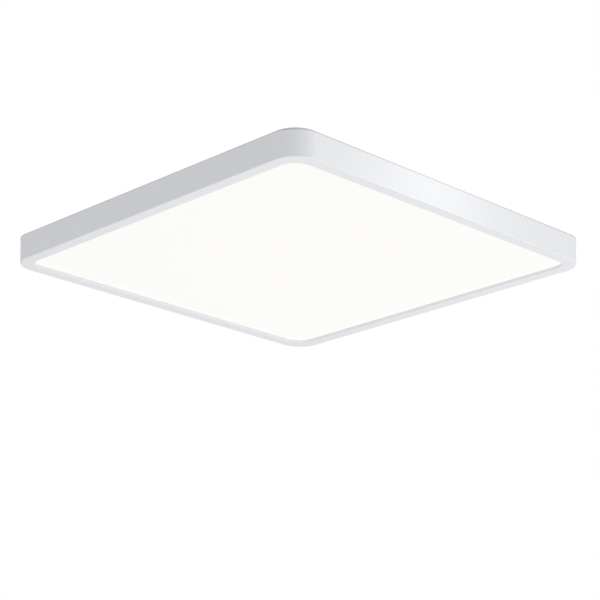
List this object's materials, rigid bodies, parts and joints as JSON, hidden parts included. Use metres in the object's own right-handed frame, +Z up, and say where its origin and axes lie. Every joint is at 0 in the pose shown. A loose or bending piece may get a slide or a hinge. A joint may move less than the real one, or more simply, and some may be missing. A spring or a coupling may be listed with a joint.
{
  "type": "flush mount ceiling light",
  "caption": "Slim square flush mount ceiling light with an edge-lit opal panel, held to a screwed ceiling bracket by spring clips.",
  "frame": {"origin": "on the ceiling plane, at the middle of the bracket's two screw slots", "axes": "+Z up into the ceiling, X along the bracket towards the terminal box, Y across it; the lamp's sides lie along X and Y and it hangs below z = 0"},
  "size_m": [0.4, 0.4, 0.027],
  "materials": {
    "white_plastic": "fine satin moulded",
    "opal_diffuser": "opal, matt outside",
    "clear_acrylic": "polished, with a dot pattern",
    "white_film": "matt film",
    "foam": "closed-cell foam",
    "bare_aluminium": "mill finish",
    "painted_steel": "powder coat",
    "zinc_steel": "zinc plated",
    "spring_steel": "stainless spring strip",
    "zinc_screw": "zinc plated",
    "brass": "turned",
    "tinned_copper": "tinned",
    "grey_rubber": "matt",
    "box_plastic": "moulded",
    "terminal_plastic": "translucent white",
    "black_plastic": "moulded",
    "driver_plastic": "moulded",
    "circuit_board": "solder resist",
    "white_board": "white solder resist",
    "led_phosphor": "phosphor",
    "ferrite": "sintered",
    "capacitor_sleeve": "shrink sleeve",
    "wire_brown": "insulation",
    "wire_blue": "insulation",
    "wire_green": "green and yellow insulation",
    "wire_white": "insulation"
  },
  "bodies": {
    "bracket": {"ceiling_bracket": "zinc_steel", "cable_bush": "grey_rubber", "bracket_earth_screw": "brass"},
    "lamp": {"frame": "white_plastic", "diffuser": "opal_diffuser", "light_guide": "clear_acrylic", "reflector_sheet": "white_film", "foam_sheet": "foam", "inner_plate": "bare_aluminium", "rail_screws": "zinc_screw", "strip_jumpers": "wire_white", "back_pan": "painted_steel", "pan_standoffs": "zinc_screw", "pan_screws": "zinc_screw", "clip_rivets": "zinc_screw", "terminal_box": "box_plastic", "terminal_block": "terminal_plastic", "terminal_clamps": "brass", "terminal_screws": "zinc_screw", "cable_clamp": "box_plastic", "clamp_screws": "zinc_screw", "box_screws": "zinc_screw", "lead_grommet": "grey_rubber", "live_lead": "wire_brown", "neutral_lead": "wire_blue", "earth_lead": "wire_green", "earth_lug": "tinned_copper", "earth_screw": "brass", "led_leads": "wire_white", "switch_leads": "wire_white", "colour_switch_body": "black_plastic", "switch_rivets": "zinc_screw", "driver_case": "driver_plastic", "driver_lid": "driver_plastic", "driver_board": "circuit_board", "driver_transformer": "ferrite", "driver_capacitors": "capacitor_sleeve", "driver_inductor": "ferrite", "driver_rectifier": "black_plastic", "driver_screws": "zinc_screw", "led_rail_front": "bare_aluminium", "led_strip_front": "white_board", "leds_front": "led_phosphor", "led_rail_right": "bare_aluminium", "led_strip_right": "white_board", "leds_right": "led_phosphor", "led_rail_back": "bare_aluminium", "led_strip_back": "white_board", "leds_back": "led_phosphor", "led_rail_left": "bare_aluminium", "led_strip_left": "white_board", "leds_left": "led_phosphor", "spring_clip_front_left": "spring_steel", "spring_clip_front_right": "spring_steel", "spring_clip_back_left": "spring_steel", "spring_clip_back_right": "spring_steel"},
    "lid": {"terminal_lid": "box_plastic"},
    "slider": {"colour_switch_slider": "black_plastic"}
  },
  "joints": [
    {"name": "lamp_drop", "type": "slide", "parent": "bracket", "child": "lamp", "axis": [0, 0, -1], "range_m": [0, 0.06], "deforming": ["spring_clip_front_left", "spring_clip_front_right", "spring_clip_back_left", "spring_clip_back_right"]},
    {"name": "lid_hinge", "type": "hinge", "parent": "lamp", "child": "lid", "pos_m": [0.1153, 0, -0.0026], "axis": [0, 1, 0], "range_deg": [0, 100]},
    {"name": "colour_slide", "type": "slide", "parent": "lamp", "child": "slider", "axis": [1, 0, 0], "range_m": [-0.003, 0.003]}
  ]
}
